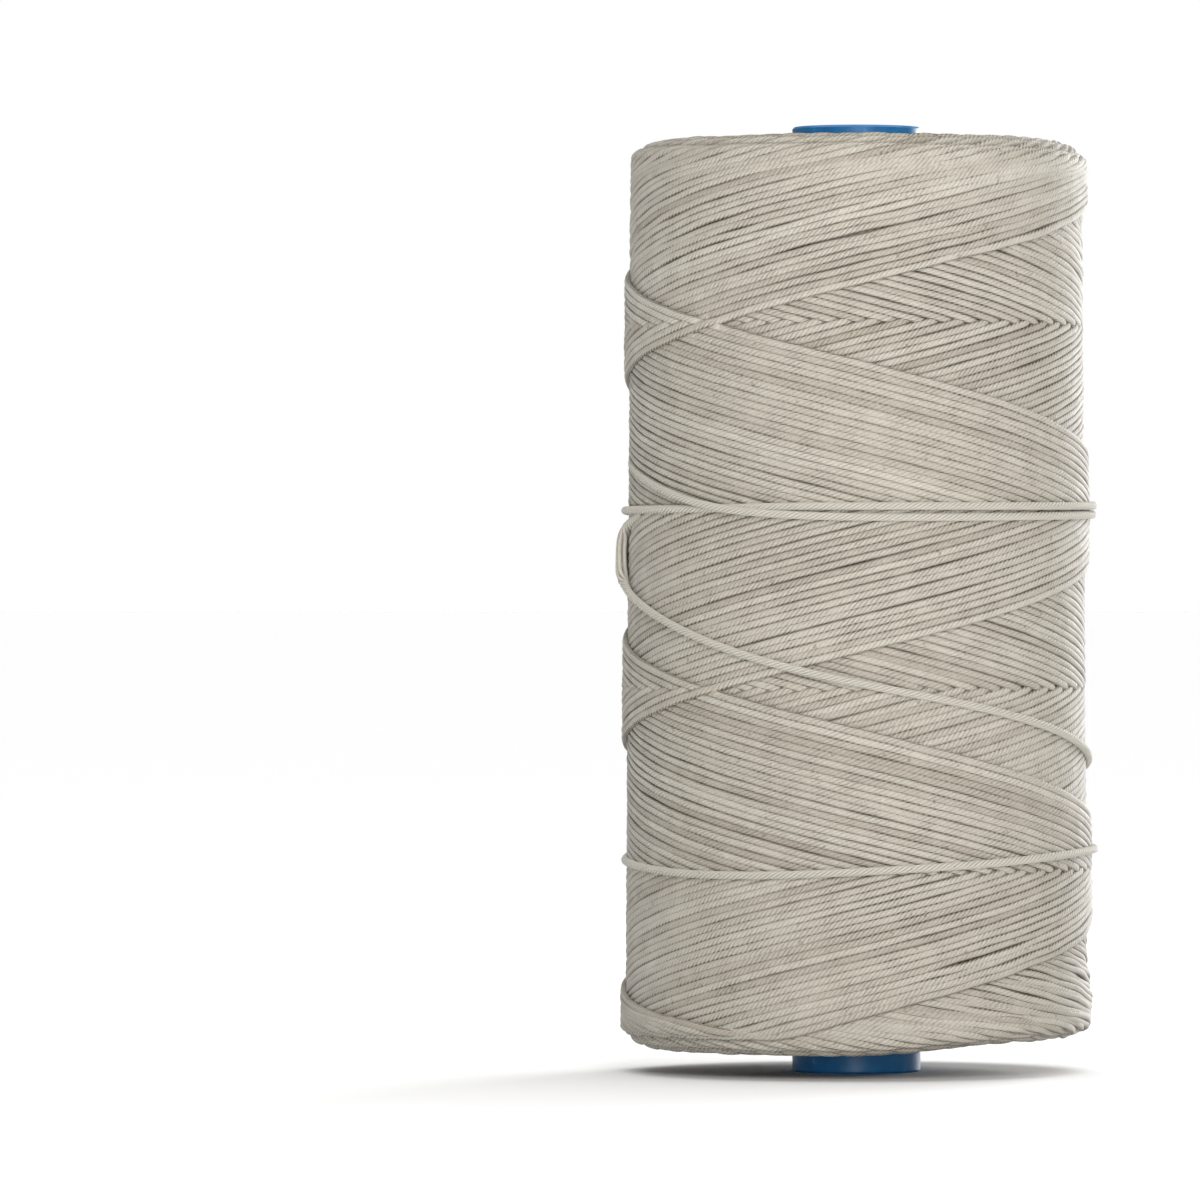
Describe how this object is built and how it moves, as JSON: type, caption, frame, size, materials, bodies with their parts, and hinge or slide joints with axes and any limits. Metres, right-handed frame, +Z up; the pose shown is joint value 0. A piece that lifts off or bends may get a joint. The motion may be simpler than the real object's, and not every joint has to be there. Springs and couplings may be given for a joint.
{
  "type": "waxed thread spool",
  "caption": "Cylindrical cross-wound package of thick natural twisted thread on a plain plastic tube, with the thread's outer end wrapped round it.",
  "frame": {"origin": "centre of the core tube's lower rim, on the surface that the spool stands on", "axes": "+Z up along the core's axis; -Y is the side where the thread's end crosses the package"},
  "size_m": [0.0948, 0.0967, 0.184],
  "materials": {
    "core_plastic": "satin",
    "waxed_thread": "matte"
  },
  "bodies": {
    "root": {"core_tube": "core_plastic", "wound_thread": "waxed_thread", "upper_tie_wrap": "waxed_thread", "thread_tail": "waxed_thread", "lower_tie_wrap": "waxed_thread"}
  },
  "joints": []
}
